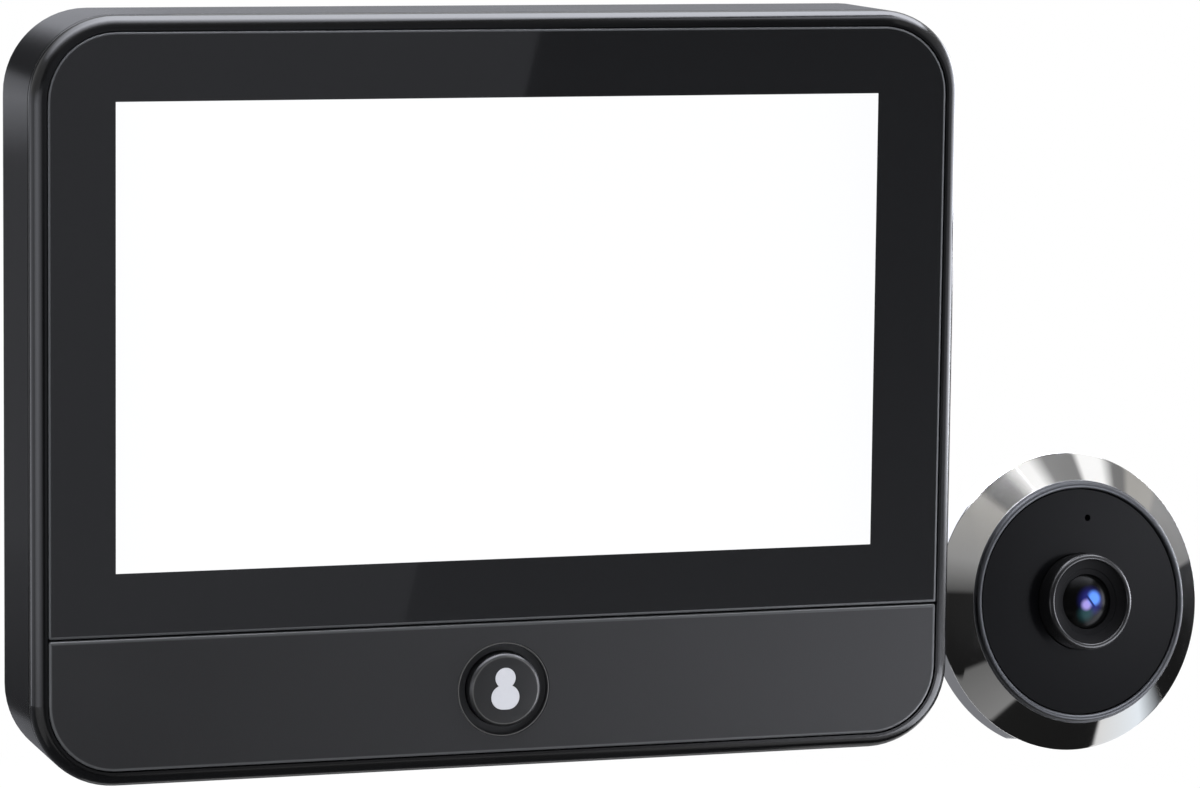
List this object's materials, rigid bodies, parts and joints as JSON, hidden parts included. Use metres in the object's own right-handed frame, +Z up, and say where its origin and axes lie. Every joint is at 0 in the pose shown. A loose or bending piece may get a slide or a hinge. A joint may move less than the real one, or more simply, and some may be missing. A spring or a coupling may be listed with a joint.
{
  "type": "peephole door camera",
  "caption": "Peephole door camera: a flat indoor monitor with a view button that hangs on a door bracket, and a round chrome-rimmed outdoor camera on a tube that goes through the door.",
  "frame": {"origin": "centre of the bracket's tube hole, on the bracket's rear face, which lies on the door: the peephole axis at the door's inner surface", "axes": "+X to the right as the screen is looked at, +Y into the door, +Z up"},
  "size_m": [0.1558, 0.0519, 0.0955],
  "materials": {
    "case_black": "satin moulded black",
    "cover_glass": "black-backed cover glass",
    "display": "lit display",
    "strip_black": "fine-grained black",
    "button_black": "satin black",
    "pictogram_white": "translucent white",
    "tape_black": "foam adhesive",
    "sheet_metal": "tinned sheet",
    "board_green": "solder mask",
    "connector_cream": "moulded",
    "ribbon_amber": "polyimide film",
    "battery_foil": "laminated foil",
    "bracket_steel": "plated",
    "screw_steel": "plated",
    "bezel_chrome": "polished dark chrome",
    "face_black": "satin black",
    "barrel_black": "black",
    "lens_glass": "coated",
    "sensor": "chip package",
    "tube_black": "black anodised",
    "gasket_rubber": "soft"
  },
  "bodies": {
    "door_fixings": {"door_bracket": "bracket_steel", "bezel_ring": "bezel_chrome", "face_plate": "face_black", "lens_barrel": "barrel_black", "front_lens": "lens_glass", "lens_core": "barrel_black", "rear_lens": "lens_glass", "lens_holder": "barrel_black", "image_sensor": "sensor", "camera_board": "board_green", "camera_socket": "connector_cream", "ring_board": "board_green", "mic_boot": "gasket_rubber", "outdoor_mic": "sheet_metal", "tube_base": "tube_black", "camera_tube": "tube_black", "base_screws": "screw_steel", "door_gasket": "gasket_rubber"},
    "monitor": {"front_frame": "case_black", "rear_cover": "case_black", "cover_glass": "cover_glass", "glass_tape": "tape_black", "display_cell": "display", "display_backlight": "sheet_metal", "lower_panel": "strip_black", "button_ring": "button_black", "button_switch": "button_black", "button_light": "connector_cream", "main_board": "board_green", "processor_shield": "sheet_metal", "wifi_module": "sheet_metal", "cable_socket": "connector_cream", "usb_socket": "sheet_metal", "card_socket": "sheet_metal", "display_connector": "connector_cream", "display_ribbon": "ribbon_amber", "battery": "battery_foil", "battery_tape": "tape_black", "speaker": "case_black", "monitor_mic": "sheet_metal", "wifi_antenna": "ribbon_amber", "power_switch": "sheet_metal", "board_screws": "screw_steel", "case_screws": "screw_steel"},
    "view_button": {"button_cap": "button_black", "button_icon": "pictogram_white", "switch_plunger": "button_black"},
    "power_button": {"power_key": "button_black", "power_plunger": "button_black"}
  },
  "joints": [
    {"name": "monitor_lift", "type": "slide", "parent": "door_fixings", "child": "monitor", "axis": [0, 0, 1], "range_m": [0, 0.006]},
    {"name": "view_button_press", "type": "slide", "parent": "monitor", "child": "view_button", "axis": [0, 1, 0], "range_m": [0, 0.0006], "stiffness_N_per_m": 800, "springref_m": -0.0012},
    {"name": "power_button_press", "type": "slide", "parent": "monitor", "child": "power_button", "axis": [-1, 0, 0], "range_m": [0, 0.0004], "stiffness_N_per_m": 900, "springref_m": -0.001}
  ]
}
